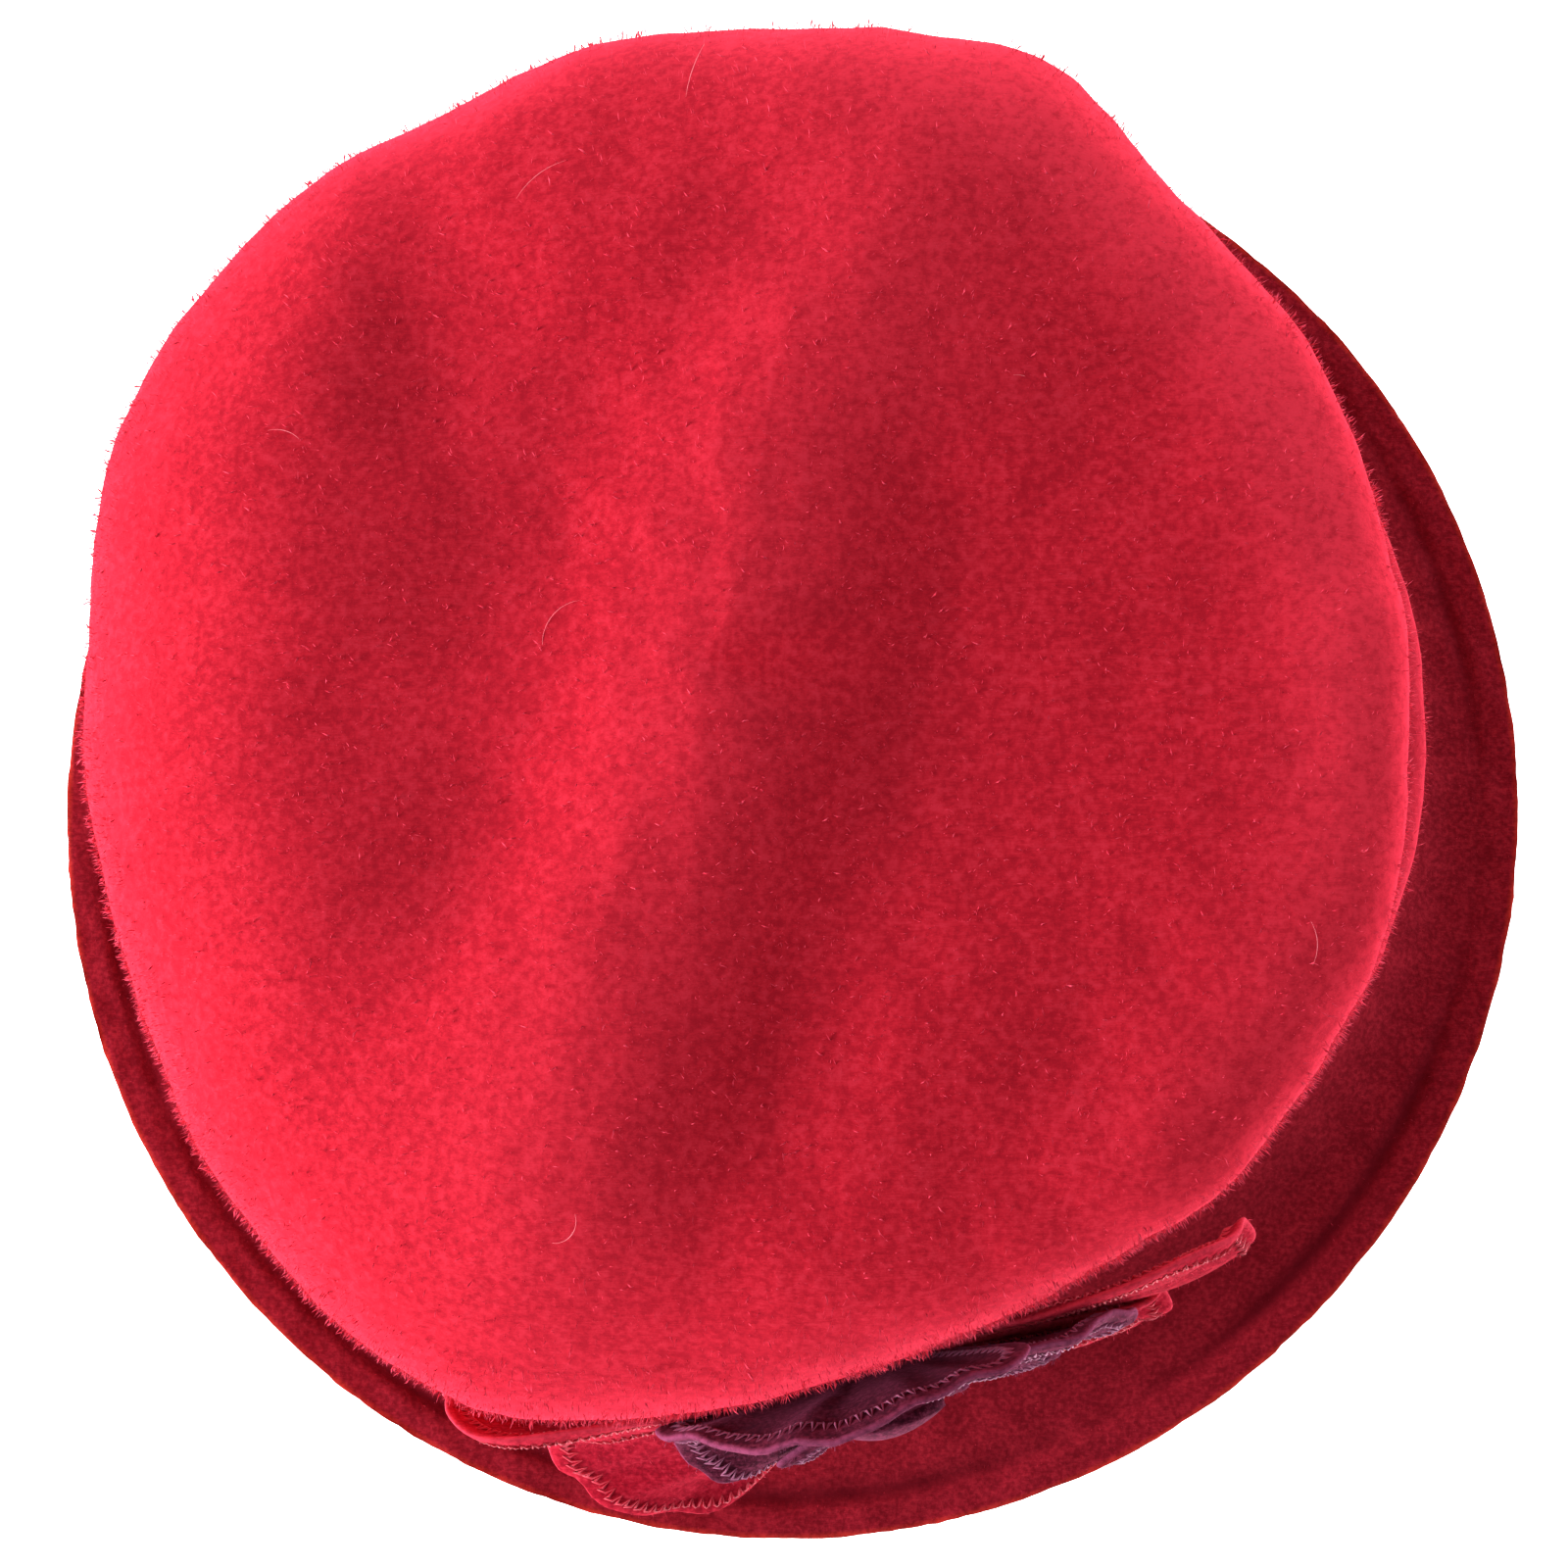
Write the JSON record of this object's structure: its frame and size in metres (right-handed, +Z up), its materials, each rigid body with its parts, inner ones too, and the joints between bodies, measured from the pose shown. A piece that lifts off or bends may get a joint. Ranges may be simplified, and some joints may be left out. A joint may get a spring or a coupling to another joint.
{
  "type": "cloche hat",
  "caption": "Soft cloche hat of fulled red wool felt: deep folded crown, downturned round brim and a stitched felt flower in red and plum on one side.",
  "frame": {"origin": "middle of the round brim, on the surface that the hat stands on", "axes": "+Z up through the crown; +X along the long way of the head opening; the flower is on the side that faces -Y"},
  "size_m": [0.256, 0.256, 0.1525],
  "materials": {
    "crown_felt": "fulled wool felt with a brushed nap, mottled cherry red",
    "brim_felt": "dense wool felt with a short nap, cherry red",
    "red_petal_felt": "thin wool felt with raw edges, zigzag stitched in red thread",
    "plum_petal_felt": "thin wool felt with raw edges, zigzag stitched in mauve thread"
  },
  "bodies": {
    "root": {"crown": "crown_felt", "brim": "brim_felt", "red_petal_1": "red_petal_felt", "red_petal_2": "red_petal_felt", "red_petal_3": "red_petal_felt", "red_petal_4": "red_petal_felt", "red_petal_5": "red_petal_felt", "plum_petal_1": "plum_petal_felt", "plum_petal_2": "plum_petal_felt", "plum_petal_3": "plum_petal_felt", "plum_petal_4": "plum_petal_felt", "plum_petal_5": "plum_petal_felt", "flower_centre": "plum_petal_felt"}
  },
  "joints": []
}
